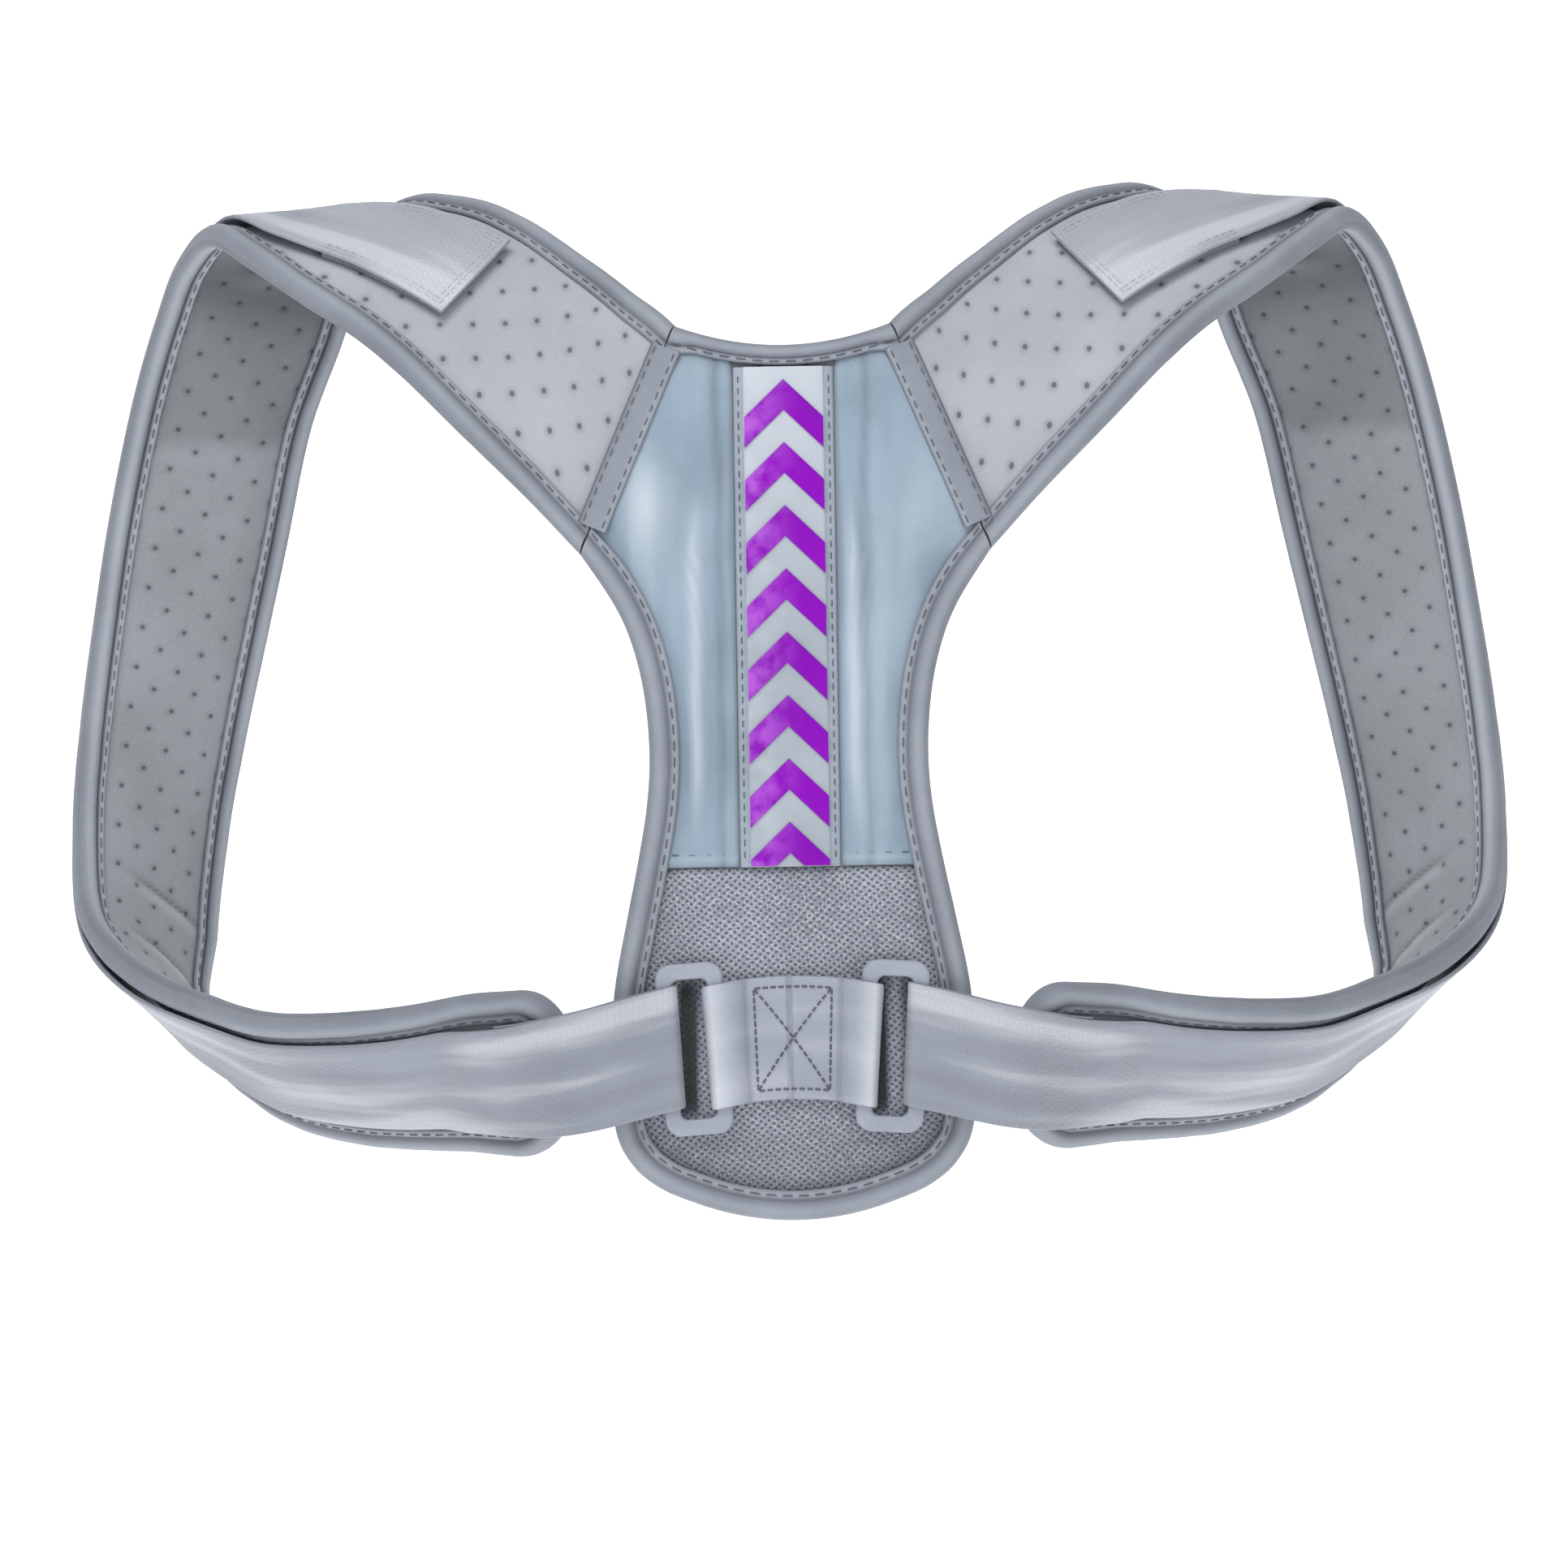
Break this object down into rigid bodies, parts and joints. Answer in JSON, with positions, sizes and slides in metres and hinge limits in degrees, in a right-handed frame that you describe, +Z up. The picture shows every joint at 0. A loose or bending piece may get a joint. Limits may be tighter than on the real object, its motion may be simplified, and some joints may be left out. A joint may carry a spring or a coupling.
{
  "type": "posture corrector",
  "caption": "Padded figure-of-eight back brace: a panel between the shoulder blades, shoulder loops under the arms, and webbing that tightens through rings.",
  "frame": {"origin": "on the wearer's back between the shoulder blades, at the middle of the panel's inner face", "axes": "+Z up, +Y towards the wearer's chest, +X to the right seen from behind"},
  "size_m": [0.4722, 0.1353, 0.3284],
  "materials": {
    "padding": "perforated grey padding",
    "coated_facing": "soft coated cloth",
    "mesh_facing": "fine open mesh",
    "strip": "smooth woven strip",
    "tape": "silver reflective tape",
    "print": "purple foil",
    "binding": "folded elastic binding",
    "webbing": "flat woven webbing",
    "hook": "hook tape",
    "ring": "moulded"
  },
  "bodies": {
    "root": {"panel_core": "padding", "facing_right": "coated_facing", "facing_left": "coated_facing", "facing_lower": "mesh_facing", "strip_base": "strip", "reflective_tape": "tape", "chevron_1": "print", "chevron_2": "print", "chevron_3": "print", "chevron_4": "print", "chevron_5": "print", "chevron_6": "print", "chevron_7": "print", "chevron_8": "print", "neck_binding": "binding", "panel_binding": "binding", "seam_tape_right": "binding", "seam_tape_left": "binding", "shoulder_strap_right": "padding", "shoulder_strap_left": "padding", "strap_binding_right": "binding", "strap_binding_left": "binding", "webbing_right": "webbing", "webbing_left": "webbing", "hook_patch_right": "hook", "hook_patch_left": "hook", "centre_webbing": "webbing", "ring_right": "ring", "ring_left": "ring"}
  },
  "joints": []
}
